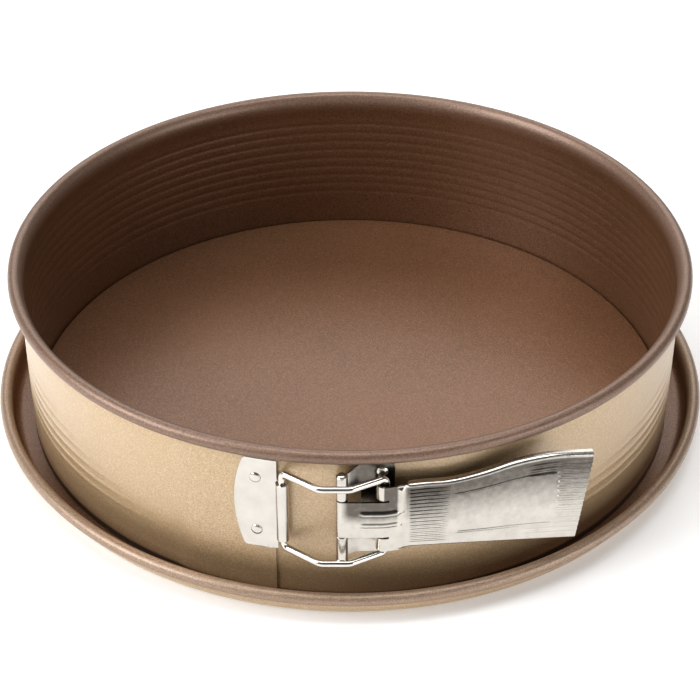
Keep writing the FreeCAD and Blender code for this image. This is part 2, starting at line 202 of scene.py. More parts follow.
def roughness_between(tree, factor, low, high, shader):
    """Let a factor between 0 and 1 carry the roughness from low to high."""
    spread = new_node(tree, "ShaderNodeMapRange")
    spread.inputs["To Min"].default_value = low
    spread.inputs["To Max"].default_value = high
    tree.links.new(factor, spread.inputs["Value"])
    tree.links.new(spread.outputs["Result"], shader.inputs["Roughness"])


def add_bump(tree, shader, layers):
    """Stack bumps, each a height, a strength and a depth in metres."""
    normal = None
    for height, strength, depth in layers:
        bump = new_node(tree, "ShaderNodeBump", Strength=strength, Distance=depth)
        tree.links.new(height, bump.inputs["Height"])
        if normal is not None:
            tree.links.new(normal, bump.inputs["Normal"])
        normal = bump.outputs["Normal"]
    tree.links.new(normal, shader.inputs["Normal"])


GRAIN_SCALE = 1900.0
PEEL_SCALE = 1100.0
CLOUD_SCALE = 14.0
FLECK_SCALE = 3400.0
CLEAR_COAT_ROUGHNESS = 0.30
ROUGHNESS_SPREAD = 0.05
DARK_SPECKLE = 0.55
PEEL_DEPTH = 0.0002
GRAIN_DEPTH = 0.0001


def coating(name, tones, metallic, rough, peel, coat, painted_light=()):
    """Satin non-stick coating: a fine two-tone grain, bright metallic flecks and orange peel.

    tones are the dark grain, the light grain and the flecks. coat is the weight and the refractive index of
    the clear layer. The last argument holds painted light and shade: each is two heights in metres and a
    colour, and the coating turns to that colour from the first height to the second."""
    material = bpy.data.materials.new(name)
    tree, shader = node_tree(material)
    position = rest_position(tree)
    dark, light, fleck = tones
    fine = grain(tree, position, GRAIN_SCALE, 3)
    cloud = grain(tree, position, CLOUD_SCALE, 2)
    base = mix_colours(tree, ramp(tree, fine, 0.40, 0.60), dark, light)
    # large cloudy patches of lighter tone, at random
    clouded = mix_colours(tree, ramp(tree, cloud, 0.2, 1.1), base, light)
    cells = new_node(tree, "ShaderNodeTexVoronoi", Scale=FLECK_SCALE)
    tree.links.new(position, cells.inputs["Vector"])
    split = tree.nodes.new("ShaderNodeSeparateColor")
    tree.links.new(cells.outputs["Color"], split.inputs["Color"])
    sparkle = ramp(tree, split.outputs["Red"], 0.70, 1.1)
    coloured = mix_colours(tree, sparkle, clouded, fleck)
    height = tree.nodes.new("ShaderNodeSeparateXYZ")
    tree.links.new(position, height.inputs["Vector"])
    # painted light and shade: a lighter or darker tone between two heights
    for start, end, tone in painted_light:
        speckle = tuple(c * DARK_SPECKLE for c in tone)
        speckled = mix_colours(tree, ramp(tree, fine, 0.34, 0.66), speckle, tone)
        coloured = mix_colours(tree, ramp(tree, height.outputs["Z"], start, end), coloured, speckled)
    tree.links.new(coloured, shader.inputs["Base Color"])
    shader.inputs["Metallic"].default_value = metallic
    shader.inputs["Coat Weight"].default_value, shader.inputs["Coat IOR"].default_value = coat
    shader.inputs["Coat Roughness"].default_value = CLEAR_COAT_ROUGHNESS
    roughness_between(tree, fine, rough - ROUGHNESS_SPREAD, rough + ROUGHNESS_SPREAD, shader)
    soft = grain(tree, position, PEEL_SCALE, 2)
    add_bump(tree, shader, [(soft, peel, PEEL_DEPTH), (fine, peel * 0.8, GRAIN_DEPTH)])
    return material


LINE_SCALE = 900.0
WAVE_SCALE = 160.0
REFLECTION_NOISE_SCALE = 420.0
WORN_SHARE = 0.86


def plating(name, tint, rough, brushed, painted_reflection_tint=None):
    """Bright nickel plate with faint drawing lines and small waviness.

    brushed is how fine the lines are along each axis, and they run where it is low. The last argument is the
    tint of a painted dark reflection and shade, laid on as far as the piece's own values say."""
    material = bpy.data.materials.new(name)
    tree, shader = node_tree(material)
    position = rest_position(tree)
    stretch = new_node(tree, "ShaderNodeMapping")
    stretch.inputs["Scale"].default_value = brushed
    tree.links.new(position, stretch.inputs["Vector"])
    lines = grain(tree, stretch.outputs["Vector"], LINE_SCALE, 4)
    wave = grain(tree, position, WAVE_SCALE, 2)
    worn = tuple(c * WORN_SHARE for c in tint)
    colour = mix_colours(tree, ramp(tree, wave, 0.3, 0.8), worn, tint)
    # painted dark reflection and shade, broken up by noise and laid on as far as the piece's own values say
    if painted_reflection_tint is not None:
        amount = new_node(tree, "ShaderNodeAttribute", attribute_name="painted_reflection").outputs["Fac"]
        uneven = new_node(tree, "ShaderNodeMath", operation="MULTIPLY_ADD")
        tree.links.new(grain(tree, position, REFLECTION_NOISE_SCALE, 5), uneven.inputs[0])
        uneven.inputs[1].default_value = 0.5
        tree.links.new(amount, uneven.inputs[2])
        colour = mix_colours(tree, ramp(tree, uneven.outputs["Value"], 0.25, 1.25), colour, painted_reflection_tint)
    tree.links.new(colour, shader.inputs["Base Color"])
    shader.inputs["Metallic"].default_value = 1.0
    roughness_between(tree, lines, rough - 0.04, rough + 0.08, shader)
    add_bump(tree, shader, [(wave, 0.25, 0.0002), (lines, 0.1, 0.00005)])
    return material


BASE_TONES = ((0.090, 0.036, 0.012), (0.225, 0.103, 0.046), (0.36, 0.19, 0.11))
BAND_TONES = ((0.055, 0.023, 0.008), (0.160, 0.070, 0.030), (0.24, 0.12, 0.065))
CHAMPAGNE_TONES = ((0.395, 0.258, 0.125), (0.55, 0.382, 0.208), (0.68, 0.54, 0.36))
# painted highlights: the beads are painted a lighter tone, as they catch more light than the faces beside
# them; painted shade: the wall's foot is painted near black, as it stands in a dark crevice
BASE_RIM_HIGHLIGHT = (0.0078, 0.0105, (0.44, 0.300, 0.205))
BAND_RIM_HIGHLIGHT = (0.0615, 0.0668, (0.275, 0.165, 0.112))
CREVICE_SHADE = (0.0042, 0.0030, (0.012, 0.008, 0.005))
BASE_COAT = coating("mocha_base_coating", BASE_TONES, 0.45, 0.43, peel=0.6, coat=(0.4, 1.5), painted_light=[BASE_RIM_HIGHLIGHT])
BAND_COAT = coating("mocha_band_coating", BAND_TONES, 0.45, 0.43, peel=0.55, coat=(0.35, 1.5),
                    painted_light=[BAND_RIM_HIGHLIGHT])
BAND_OUTSIDE = coating("champagne_coating", CHAMPAGNE_TONES, 0.55, 0.42, peel=0.4, coat=(0.7, 1.75),
                       painted_light=[CREVICE_SHADE])
BASE_UNDERSIDE = coating("champagne_underside", CHAMPAGNE_TONES, 0.55, 0.42, peel=0.4, coat=(0.7, 1.75))
CUT_EDGE = plating("cut_edge", (0.42, 0.33, 0.24), 0.4, (1, 1, 0.2))
NICKEL = plating("nickel_sheet", (0.70, 0.665, 0.61), 0.18, (0.1, 0.1, 1.0))
# the satin plate carries the painted dark reflection and shade on the lever's and the bracket's upper parts
NICKEL_SATIN = plating("nickel_satin", (0.68, 0.64, 0.58), 0.20, (0.1, 0.1, 1.0), painted_reflection_tint=(0.13, 0.115, 0.10))
NICKEL_WIRE = plating("nickel_wire", (0.80, 0.76, 0.70), 0.12, (1, 1, 1))


# ---------------------------------------------------------------- mesh tools

def remember_places(mesh):
    """Keep where each point stands now, for the materials."""
    places = np.empty(3 * len(mesh.vertices), np.float32)
    mesh.vertices.foreach_get("co", places)
    kept = mesh.attributes.get("made_at") or mesh.attributes.new("made_at", "FLOAT_VECTOR", "POINT")
    kept.data.foreach_set("vector", places)


def finish_mesh(name, points, faces, materials, face_materials=None, sharp=40.0, weld=0.0, painted_reflection=None):
    """A smooth-shaded object from points in millimetres, with edges over an angle left sharp."""
    mesh = bpy.data.meshes.new(name)
    mesh.from_pydata([tuple(c * MM for c in p) for p in points], [], faces)
    # how far a painted dark reflection darkens the plating at each point
    if painted_reflection is not None:
        mesh.attributes.new("painted_reflection", "FLOAT", "POINT").data.foreach_set("value", painted_reflection)
    for material in materials:
        mesh.materials.append(material)
    if face_materials is not None:
        mesh.polygons.foreach_set("material_index", face_materials)
    build = bmesh.new()
    build.from_mesh(mesh)
    if weld:
        bmesh.ops.remove_doubles(build, verts=build.verts, dist=weld * MM)
    loose = [v for v in build.verts if not v.link_faces]
    bmesh.ops.delete(build, geom=loose, context="VERTS")
    bmesh.ops.recalc_face_normals(build, faces=build.faces)
    for face in build.faces:
        face.smooth = True
    limit = math.radians(sharp)
    for edge in build.edges:
        edge.smooth = not (len(edge.link_faces) == 2 and edge.calc_face_angle(0) > limit)
    build.to_mesh(mesh)
    build.free()
    remember_places(mesh)
    piece = bpy.data.objects.new(name, mesh)
    bpy.context.scene.collection.objects.link(piece)
    return piece


def soften(piece, width, segments=2, angle=50.0):
    """Break the sharp edges of a piece, as a press and a tumbler leave them."""
    bevel = piece.modifiers.new("soft_edges", "BEVEL")
    bevel.width = width * MM
    bevel.segments = segments
    bevel.limit_method = "ANGLE"
    bevel.angle_limit = math.radians(angle)
    bevel.harden_normals = False
    return piece


def sheet_metal(name, grid, thick, materials, keep=None, around=False, weld=0.0, painted_reflection=None):
    """A closed sheet of even thickness from a grid of points on its front face.

    grid is rows x columns x 3 in millimetres; keep marks the cells that exist; the back face is offset
    against the front's own normals. Materials are front, back and cut edge. The last argument is how far a
    painted dark reflection darkens the plating at each point of the grid."""
    grid = np.asarray(grid, float)
    rows, columns = grid.shape[:2]
    ahead = (np.arange(rows) + 1) % rows
    cells_down = rows if around else rows - 1
    keep = np.ones((cells_down, columns - 1), bool) if keep is None else keep
    index = np.arange(rows * columns).reshape(rows, columns)
    first = index[:cells_down, :-1]
    quads = np.stack([first, index[:cells_down, 1:], index[ahead[:cells_down], 1:],
                      index[ahead[:cells_down], :-1]], -1)
    flat = grid.reshape(-1, 3)
    facing = np.cross(flat[quads[..., 2]] - flat[quads[..., 0]], flat[quads[..., 3]] - flat[quads[..., 1]])
    facing /= np.linalg.norm(facing, axis=-1, keepdims=True) + 1e-12
    gathered = np.zeros_like(flat)
    for corner in range(4):
        np.add.at(gathered, quads[..., corner][keep], facing[keep])
    length = np.linalg.norm(gathered, axis=-1, keepdims=True)
    gathered /= np.where(length > 0, length, 1)
    count = rows * columns
    points = np.concatenate([flat, flat - gathered * thick])
    front = quads[keep]
    back = front[:, ::-1] + count
    open_edges = {}
    for quad in front.tolist():
        for start, end in zip(quad, quad[1:] + quad[:1]):
            if (end, start) in open_edges:
                del open_edges[(end, start)]
            else:
                open_edges[(start, end)] = True
    sides = [[end, start, start + count, end + count] for start, end in open_edges]
    faces = front.tolist() + back.tolist() + sides
    slots = [0] * len(front) + [1] * len(back) + [2] * len(sides)
    if painted_reflection is not None:
        painted_reflection = np.tile(np.asarray(painted_reflection, np.float32).ravel(), 2)
    return finish_mesh(name, points.tolist(), faces, materials, slots, weld=weld, painted_reflection=painted_reflection)


def smooth_step(value, low, high):
    """0 up to low, 1 from high on, and a soft S between."""
    share = np.clip((value - low) / (high - low), 0, 1)
    return share * share * (3 - 2 * share)


def arc_points(centre, radius, first, last, steps):
    """Points of an arc in a plane, angles in degrees, both ends included."""
    turns = np.radians(np.linspace(first, last, steps + 1))
    return [(centre[0] + radius * math.cos(t), centre[1] + radius * math.sin(t)) for t in turns]


def turned_grid(profile, azimuths, shift=None):
    """A grid from a profile of radius and height, one row for each azimuth; shift moves points outward."""
    profile = np.asarray(profile, float)
    azimuths = np.radians(np.asarray(azimuths, float))[:, None]
    shape = (len(azimuths), len(profile))
    radius = np.broadcast_to(profile[:, 0] + (0 if shift is None else shift), shape)
    height = np.broadcast_to(profile[:, 1], shape)
    return np.stack([radius * np.sin(azimuths), -radius * np.cos(azimuths), height], -1)


def lathe(name, profile, materials, steps=48):
    """A solid of revolution about +Z from an open profile that starts and ends on the axis."""
    points = []
    faces = []
    count = len(profile)
    for step in range(steps):
        turn = 2 * math.pi * step / steps
        points += [(r * math.cos(turn), r * math.sin(turn), z) for r, z in profile]
    for step in range(steps):
        here = step * count
        there = (step + 1) % steps * count
        faces += [(here + j, there + j, there + j + 1, here + j + 1) for j in range(count - 1)]
    return finish_mesh(name, points, faces, materials, weld=0.001)


def place(piece, location, outward=None):
    """Bake a place into the mesh: +Z of the piece turned to face outward, then moved."""
    if outward is not None:
        turn = Vector((0, 0, 1)).rotation_difference(Vector(outward))
        piece.data.transform(turn.to_matrix().to_4x4())
    for vertex in piece.data.vertices:
        vertex.co += Vector(location) * MM
    remember_places(piece.data)
    return piece


def tube(name, path, radius, materials, ring=20):
    """A round wire along a list of points, with slightly rounded ends."""
    path = [Vector(p) for p in path]
    tangents = []
    for i, here in enumerate(path):
        before = path[max(i - 1, 0)]
        after = path[min(i + 1, len(path) - 1)]
        tangents.append((after - before).normalized())
    side = tangents[0].orthogonal().normalized()
    stations = []
    soft = radius * 0.3
    for i, (here, along) in enumerate(zip(path, tangents)):
        side = (side - along * side.dot(along)).normalized()
        other = along.cross(side)
        if i == 0:
            stations.append((here, radius - soft, side, other))
            stations.append((here + along * soft, radius, side, other))
        elif i == len(path) - 1:
            stations.append((here - along * soft, radius, side, other))
            stations.append((here, radius - soft, side, other))
        else:
            stations.append((here, radius, side, other))
    points = []
    for centre, size, first, second in stations:
        for k in range(ring):
            turn = 2 * math.pi * k / ring
            points.append(centre + (first * math.cos(turn) + second * math.sin(turn)) * size)
    faces = []
    for i in range(len(stations) - 1):
        for k in range(ring):
            a = i * ring + k
            b = i * ring + (k + 1) % ring
            faces.append((a, b, b + ring, a + ring))
    faces.append(tuple(range(ring))[::-1])
    last = (len(stations) - 1) * ring
    faces.append(tuple(range(last, last + ring)))
    return finish_mesh(name, points, faces, materials)


def rounded_path(points, radii, steps=10):
    """Straight runs joined by tangent arcs, sampled as points."""
    points = [Vector(p) for p in points]
    path = [points[0]]
    for before, corner, after, radius in zip(points, points[1:], points[2:], radii):
        back = (before - corner).normalized()
        ahead = (after - corner).normalized()
        half = back.angle(ahead) / 2
        reach = radius / math.tan(half)
        centre = corner + (back + ahead).normalized() * (radius / math.sin(half))
        start = corner + back * reach - centre
        end = corner + ahead * reach - centre
        for step in range(steps + 1):
            path.append(centre + start.slerp(end, step / steps) * radius)
    path.append(points[-1])
    return path


# ---------------------------------------------------------------- base plate

def base_profile():
    """The coated upper face: floor, edge, skirt, gutter, rim wall and the bead rolled outward."""
    rim = BASE_HIGH.x - 2 * BASE_BEAD
    bead_at = (rim + BASE_BEAD, BASE_HIGH.z - BASE_BEAD)
    edge_at = (FLOOR_EDGE - FLOOR_EDGE_BEND, FLOOR_TOP - FLOOR_EDGE_BEND)
    foot_at = (FLOOR_EDGE + FLOOR_FOOT_BEND, BASE_SHEET + FLOOR_FOOT_BEND)
    gutter_at = (rim - GUTTER_BEND, BASE_SHEET + GUTTER_BEND)
    gutter_middle = 132.5
    points = [(r, FLOOR_TOP) for r in (0, 1, 10, 30, 50, 70, 90, 105, 118, 125)]
    points += arc_points(edge_at, FLOOR_EDGE_BEND, 90, 0, 8)
    points += arc_points(foot_at, FLOOR_FOOT_BEND, 180, 270, 4)
    points += [(gutter_middle, BASE_SHEET)]
    points += arc_points(gutter_at, GUTTER_BEND, -90, 0, 12)
    points += [(rim, (gutter_at[1] + bead_at[1]) / 2)]
    points += arc_points(bead_at, BASE_BEAD, 180, -125, 30)
    return points


def make_base():
    """The base plate, one pressed sheet: coated above, in the outside colour below."""
    grid = turned_grid(base_profile(), np.arange(0, 360, 1.5))
    materials = [BASE_COAT, BASE_UNDERSIDE, CUT_EDGE]
    base = sheet_metal("base_plate_skin", grid, BASE_SHEET, materials, around=True, weld=0.002)
    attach(base, "base")
    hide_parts("base_plate")


# ---------------------------------------------------------------- side band

def band_profile():
    """The coated inner face: up the wall, in to the neck, and out over the bead."""
    bead_at = (BAND_INNER + BAND_BEAD, BAND_HIGH.z - BAND_BEAD)
    neck_turn = 36.0
    turn = math.radians(neck_turn)
    reach = (bead_at[0] - NECK_INNER - BAND_BEAD) / (1 - math.cos(turn))
    flare_at = (NECK_INNER + reach + BAND_BEAD, bead_at[1] - reach * math.sin(turn))
    heights = [BAND_LOW.z, 2, 6, 10, 14]
    heights += list(np.arange(RIB_FIRST - RIB_PITCH / 2, NECK_LOW - 0.2, RIB_PITCH / 10))
    heights += list(np.linspace(NECK_LOW, LAP_TOP, 9))
    points = [(BAND_INNER - NECK_LEAN * smooth_step(z, NECK_LOW, flare_at[1]), z) for z in heights]
    points += arc_points(flare_at, reach + BAND_BEAD, 180, 180 - neck_turn, 8)
    points += arc_points(bead_at, BAND_BEAD, 180 - neck_turn, -125, 32)[1:]
    return np.array(points)


def rib_shift(profile, azimuths):
    """How far the ribs press each profile point outward at each azimuth.

    They fade out towards the clasp, the upper ones further from it."""
    fade_first = 28.0
    fade_step = 4.0
    fade_length = 30.0
    height = profile[:, 1]
    count = (height - RIB_FIRST) / RIB_PITCH
    nearest = np.round(count)
    inside = (nearest >= 0) & (nearest < RIB_TOTAL) & (height < LAP_TOP)
    away = np.abs(count - nearest) * RIB_PITCH / RIB_HALF_WIDTH
    crest = np.where(inside, 0.5 + 0.5 * np.cos(np.pi * np.clip(away, 0, 1)), 0)
    begin = fade_first + fade_step * np.clip(nearest, 0, RIB_TOTAL)[None, :]
    fade = smooth_step(np.abs(np.asarray(azimuths))[:, None], begin, begin + fade_length)
    return RIB_DEPTH * fade * crest[None, :]


def make_band_right(profile):
    """The right half, from its tail behind the lap to the back seam."""
    azimuths = np.concatenate([np.arange(TAIL_END, 40, 1.0), np.arange(40, BACK_SEAM + 0.1, 1.0)])
    grid = turned_grid(profile, azimuths, rib_shift(profile, azimuths))
    band = sheet_metal("side_band_right_skin", grid, BAND_SHEET, [BAND_COAT, BAND_OUTSIDE, CUT_EDGE])
    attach(band, "ring")
    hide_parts("side_band_right")


def make_band_left(profile):
    """The left half, whose wall steps outward at the joggle and laps over the right half's tail."""
    step = np.linspace(JOGGLE - 3.5, BEAD_END, 11)
    azimuths = np.concatenate([np.arange(BACK_SEAM - 360, step[0] - 0.3, 1.0), step,
                               np.arange(JOGGLE + 1, LAP_END, 1.0), [LAP_END]])
    wall = (profile[:-1, 1] < LAP_TOP - 0.01) & (profile[:-1, 0] < BAND_INNER + 0.01)
    stepped = JOGGLE_OFFSET * smooth_step(azimuths, step[0], step[-1])[:, None] * np.append(wall, False)
    grid = turned_grid(profile, azimuths, rib_shift(profile, azimuths) + stepped)
    keep = np.ones((len(azimuths) - 1, len(profile) - 1), bool)
    keep[azimuths[:-1] > BEAD_END - 0.01] = wall
    band = sheet_metal("side_band_left_skin", grid, BAND_SHEET, [BAND_COAT, BAND_OUTSIDE, CUT_EDGE], keep)
    # a chord along the left half's whole length, and the direction across it
    start, chord_end, front = (turned_grid([(BAND_INNER, 0)], [azimuth])[0, 0]
                               for azimuth in (BACK_SEAM, -BACK_SEAM, LAP_END))
    chord = (front - chord_end) / np.linalg.norm(front - chord_end)
    across = np.array([chord[1], -chord[0], 0])
    across *= np.sign(across @ (chord_end - start))
    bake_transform(band)
    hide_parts("side_band_left")


def make_band():
    """The springy strip, whose two halves join at the back seam and open at the front."""
    profile = band_profile()
    make_band_right(profile)
    make_band_left(profile)


# ---------------------------------------------------------------- clasp

def on_circle(radius, azimuth):
    """The plan point at a radius and an azimuth of the band."""
    turn = math.radians(azimuth)
    return radius * math.sin(turn), -radius * math.cos(turn)


def upright_grid(paths, heights):
    """A grid from one plan path of (x, y) points for each height."""
    return np.array([[(x, y, z) for x, y in path] for path, z in zip(paths, heights)])


def roll(centre, radius, start, sweep, steps):
    """Plan points of a roll about an upright axis: start and sweep in degrees from +X."""
    return arc_points(centre, radius, start, start + sweep, steps)


def corner_trim(edge, radius):
    """How far a rounded corner cuts into a plate's side, at a distance from the plate's end."""
    return radius - math.sqrt(max(radius ** 2 - max(radius - edge, 0) ** 2, 0))


def make_hinge_plate():
    """A bowed leaf on the band's left end, rolled outward into a tube round the bail's leg."""
    face = PLATE_FACE + JOGGLE_OFFSET
    low, high = HINGE_LOW.z, HINGE_HIGH.z
    corner = 1.2
    bow = 55.0
    leaf_columns = 13
    rounding = corner * (1 - np.cos(np.linspace(0, np.pi / 2, 7)))
    heights = np.concatenate([low + rounding,
                              np.linspace(low + corner, HINGE_TUBE_LOW, 3)[1:],
                              np.linspace(HINGE_TUBE_LOW, HINGE_TUBE_HIGH, 12)[1:],
                              np.linspace(HINGE_TUBE_HIGH, high - corner, 4)[1:-1],
                              high - rounding[::-1]])
    inward = math.degrees(math.atan2(-HINGE[1], -HINGE[0]))
    paths = []
    for z in heights:
        bowed = bow - math.sqrt(bow ** 2 - (z - CLASP_MIDDLE) ** 2)
        left = HINGE_LEFT + math.degrees((bowed + corner_trim(min(z - low, high - z), corner)) / face)
        leaf = [on_circle(face, azimuth) for azimuth in np.linspace(left, HINGE_RIGHT, leaf_columns)]
        paths.append(leaf + roll(HINGE, HINGE_TUBE_RADIUS - CLASP_SHEET, inward, -300, 30))
    grid = upright_grid(paths, heights)
    keep = np.ones((len(heights) - 1, grid.shape[1] - 1), bool)
    middles = (heights[:-1] + heights[1:]) / 2
    keep[(middles < HINGE_TUBE_LOW) | (middles > HINGE_TUBE_HIGH), leaf_columns - 1:] = False
    plate = sheet_metal("hinge_plate_skin", grid, CLASP_SHEET, [NICKEL] * 3, keep)
    soften(plate, 0.18)
    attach(plate, "ring_left")
    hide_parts("hinge_plate")


def make_rivet(node, body):
    """A domed rivet head with a small set mark, on its shank."""
    low, high = node_box(node)
    middle = (low + high) / 2
    outward = Vector((middle.x, middle.y, 0)).normalized()
    head = 2.1
    rise = 0.85
    shank = 1.45
    shank_depth = 1.6
    seat = PLATE_FACE + (JOGGLE_OFFSET if body == "ring_left" else 0)
    set_mark = [(0, seat + rise - 0.16), (0.3, seat + rise - 0.13)]
    dome = [(head * math.sin(t), seat + rise * math.cos(t) ** 0.9) for t in np.linspace(0.35, 1.35, 10)]
    rim = [(head, seat + 0.05), (head - 0.1, seat - 0.02)]
    stem = [(shank, seat - 0.02), (shank, seat - shank_depth), (0, seat - shank_depth)]
    rivet = lathe(node + "_skin", set_mark + dome + rim + stem, [NICKEL])
    place(rivet, (0, 0, middle.z), outward)
    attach(rivet, body)
    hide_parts(node)


# how many columns of the bracket's grid are on its leaf
LEAF_COLUMNS = 10


def bracket_path(z):
    """Plan points of the bracket at a height: leaf, bend, web, and the roll round the pin."""
    corner = 2.6
    roll_radius = PIVOT_TUBE_RADIUS - CLASP_SHEET
    bend_end = Vector(on_circle(PLATE_FACE + 0.35, 1.0))
    reach = Vector(PIVOT) - bend_end
    toward = math.atan2(reach.y, reach.x) - math.asin(roll_radius / reach.length)
    straight = math.sqrt(reach.length ** 2 - roll_radius ** 2)
    touch = bend_end + Vector((math.cos(toward), math.sin(toward))) * straight
    start = math.degrees(math.atan2(touch.y - PIVOT[1], touch.x - PIVOT[0]))
    trim = corner_trim(min(z - BRACKET_LOW.z, BRACKET_HIGH.z - z), corner)
    right = BRACKET_RIGHT - math.degrees(trim / PLATE_FACE)
    leaf = [on_circle(PLATE_FACE, azimuth) for azimuth in np.linspace(right, BRACKET_LEFT, LEAF_COLUMNS)]
    bend = [on_circle(PLATE_FACE + 0.12, 1.25), tuple(bend_end)]
    web = [tuple(bend_end.lerp(touch, share)) for share in (0.33, 0.66)]
    return leaf + bend + web + roll(PIVOT, roll_radius, start, 300, 30)


def make_bracket():
    """A leaf on the band's right end whose left edge runs out to two knuckles round the pin.

    Between the leaf and the upper knuckle the top edge dips."""
    low, high = BRACKET_LOW.z, BRACKET_HIGH.z
    heights = np.concatenate([np.linspace(low, KNUCKLE_GAP_LOW, 9),
                              np.linspace(KNUCKLE_GAP_LOW, KNUCKLE_GAP_HIGH, 6)[1:],
                              np.linspace(KNUCKLE_GAP_HIGH, high, 11)[1:]])
    grid = upright_grid([bracket_path(z) for z in heights], heights)
    # the top of each column: level on the leaf, lowest on the web, and rising round the first of the roll
    tops = np.full(grid.shape[1], KNUCKLE_HIGH)
    tops[:LEAF_COLUMNS] = high
    dip = [high - 0.3, high - 1.4, 61.4, 60.2, 60.0, *np.linspace(60.4, KNUCKLE_HIGH, 4)]
    tops[LEAF_COLUMNS:LEAF_COLUMNS + len(dip)] = dip
    above = np.maximum(grid[..., 2] - KNUCKLE_GAP_HIGH, 0)
    grid[..., 2] += above * (tops[None, :] - high) / (high - KNUCKLE_GAP_HIGH)
    outward = np.hypot(grid[..., 0], grid[..., 1]) - PLATE_FACE
    # painted dark reflection and shade on the leaf's upper part, none on the web and the knuckles
    painted_reflection = smooth_step(grid[..., 2], 44, 54) * (1 - smooth_step(outward, 0.8, 2.0))
    keep = np.ones((len(heights) - 1, grid.shape[1] - 1), bool)
    middles = (heights[:-1] + heights[1:]) / 2
    keep[(middles > KNUCKLE_GAP_LOW) & (middles < KNUCKLE_GAP_HIGH), LEAF_COLUMNS - 1:] = False
    # the columns run leftward, so they are turned round to face outward
    bracket = sheet_metal("lever_bracket_skin", grid[:, ::-1], CLASP_SHEET, [NICKEL_SATIN] * 3, keep[:, ::-1],
                          painted_reflection=painted_reflection[:, ::-1])
    soften(bracket, 0.18)
    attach(bracket, "ring")
    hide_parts("lever_bracket")


def make_pin():
    """The pivot pin, its ends upset into low heads over the knuckles."""
    low, high = node_box("pivot_pin")
    radius = (high.x - low.x) / 2
    head = 1.7
    gap = 0.04
    top = [(head, KNUCKLE_HIGH + gap), (head, KNUCKLE_HIGH + 0.3), (head - 0.25, high.z - 0.05),
           (head - 0.8, high.z + 0.1), (0.5, high.z), (0, high.z - 0.1)]
    bottom = [(r, BRACKET_LOW.z - (z - KNUCKLE_HIGH)) for r, z in top[::-1]]
    profile = bottom + [(radius, BRACKET_LOW.z - gap), (radius, KNUCKLE_HIGH + gap)] + top
    pin = place(lathe("pivot_pin_skin", profile, [NICKEL_WIRE]), (*PIVOT, 0))
    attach(pin, "ring")
    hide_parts("pivot_pin")


def make_bail():
    """A crowned loop of wire whose ends butt inside the hinge tube."""
    half = (BAIL_HIGH.z - BAIL_LOW.z) / 2 - WIRE_RADIUS
    crown = BAIL_LOW.y + WIRE_RADIUS
    crown_left = -10.5
    crown_right = 0.0
    end_gap = 0.8
    tight, wide = 2.2, 5
    upper = [(*HINGE, end_gap), (*HINGE, half), (crown_left, crown, half), (crown_right, crown, half),
             (BAIL_HIGH.x - WIRE_RADIUS, CURL[1], half)]
    lower = [(x, y, -z) for x, y, z in upper[::-1]]
    points = [(x, y, CLASP_MIDDLE + z) for x, y, z in upper + lower]
    path = rounded_path(points, [tight, wide, wide, tight, tight, wide, wide, tight])
    bail = tube("clasp_bail_skin", path, WIRE_RADIUS, [NICKEL_WIRE], 24)
    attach(bail, "bail")
    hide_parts("clasp_bail")


def lever_face(x):
    """The lever's outer face seen from above, with a soft knee where the handle turns away."""
    past = x - LEVER_KNEE
    soft = 0.5 * (past + np.sqrt(past ** 2 + KNEE_SOFTNESS ** 2))
    return CURL[1] - CURL_RADIUS + LEVER_LEAN * np.minimum(past, 0) + LEVER_SLOPE * soft


def lever_slope(x):
    """How steeply the outer face turns away, seen from above."""
    past = x - LEVER_KNEE
    return LEVER_SLOPE * 0.5 * (1 + past / np.sqrt(past ** 2 + KNEE_SOFTNESS ** 2))


def catmull(x, knots):
    """A smooth curve through knots of x and height."""
    xs = np.array([k[0] for k in knots], float)
    ys = np.array([k[1] for k in knots], float)
    slopes = np.gradient(ys, xs)
    i = np.clip(np.searchsorted(xs, x) - 1, 0, len(xs) - 2)
    span = xs[i + 1] - xs[i]
    t = np.clip((x - xs[i]) / span, 0, 1)
    return ((2 * t ** 3 - 3 * t ** 2 + 1) * ys[i] + (t ** 3 - 2 * t ** 2 + t) * span * slopes[i]
            + (3 * t ** 2 - 2 * t ** 3) * ys[i + 1] + (t ** 3 - t ** 2) * span * slopes[i + 1])


def lever_low(x):
    """The height of the lever's lower edge."""
    at_neck, at_end = 29.7, 21.9
    handle = at_neck + (x - LEVER_NECK) * (at_end - at_neck) / (LEVER_END_LOW - LEVER_NECK)
    notch = smooth_step(x, LEVER_NECK - 0.8, LEVER_NECK)
    return WING[0] + (handle - WING[0]) * notch


def lever_high(x):
    """The height of the lever's upper edge, which dips and then flares."""
    flare = [(LEVER_NECK, WING[1]), (26, 57.1), (34, 56.4), (47, 57.9), (57.5, 60.3), (68.5, 61.2),
             (LEVER_END_HIGH, 59.5)]
    notch = smooth_step(x, LEVER_NECK - 0.8, LEVER_NECK)
    return WING[1] + (catmull(np.maximum(x, LEVER_NECK), flare) - WING[1]) * notch


def ridge(distance, width, height):
    """A rounded ridge: its height at a distance from its middle line."""
    return height * (0.5 + 0.5 * np.cos(np.pi * np.clip(np.abs(distance) / width, 0, 1)))


# the lever's pressed details: ridges as height above the middle, width and depth, and the panel's edges
TONGUE_RIDGES = ((2.7, 1.9, 0.9), (-2.3, 1.5, 0.5))
BAR_AT = 17.6
BAR_WIDTH = 1.7
BAR_DEPTH_UPPER = 1.0
BAR_DEPTH_LOWER = 0.6
HANDLE_RIBS = 17.5
PANEL_LEFT = 36.5
PANEL_RIGHT = 72.0
PANEL_LOW = 0.20
PANEL_HIGH = 0.80
HANDLE_HEIGHT = 33


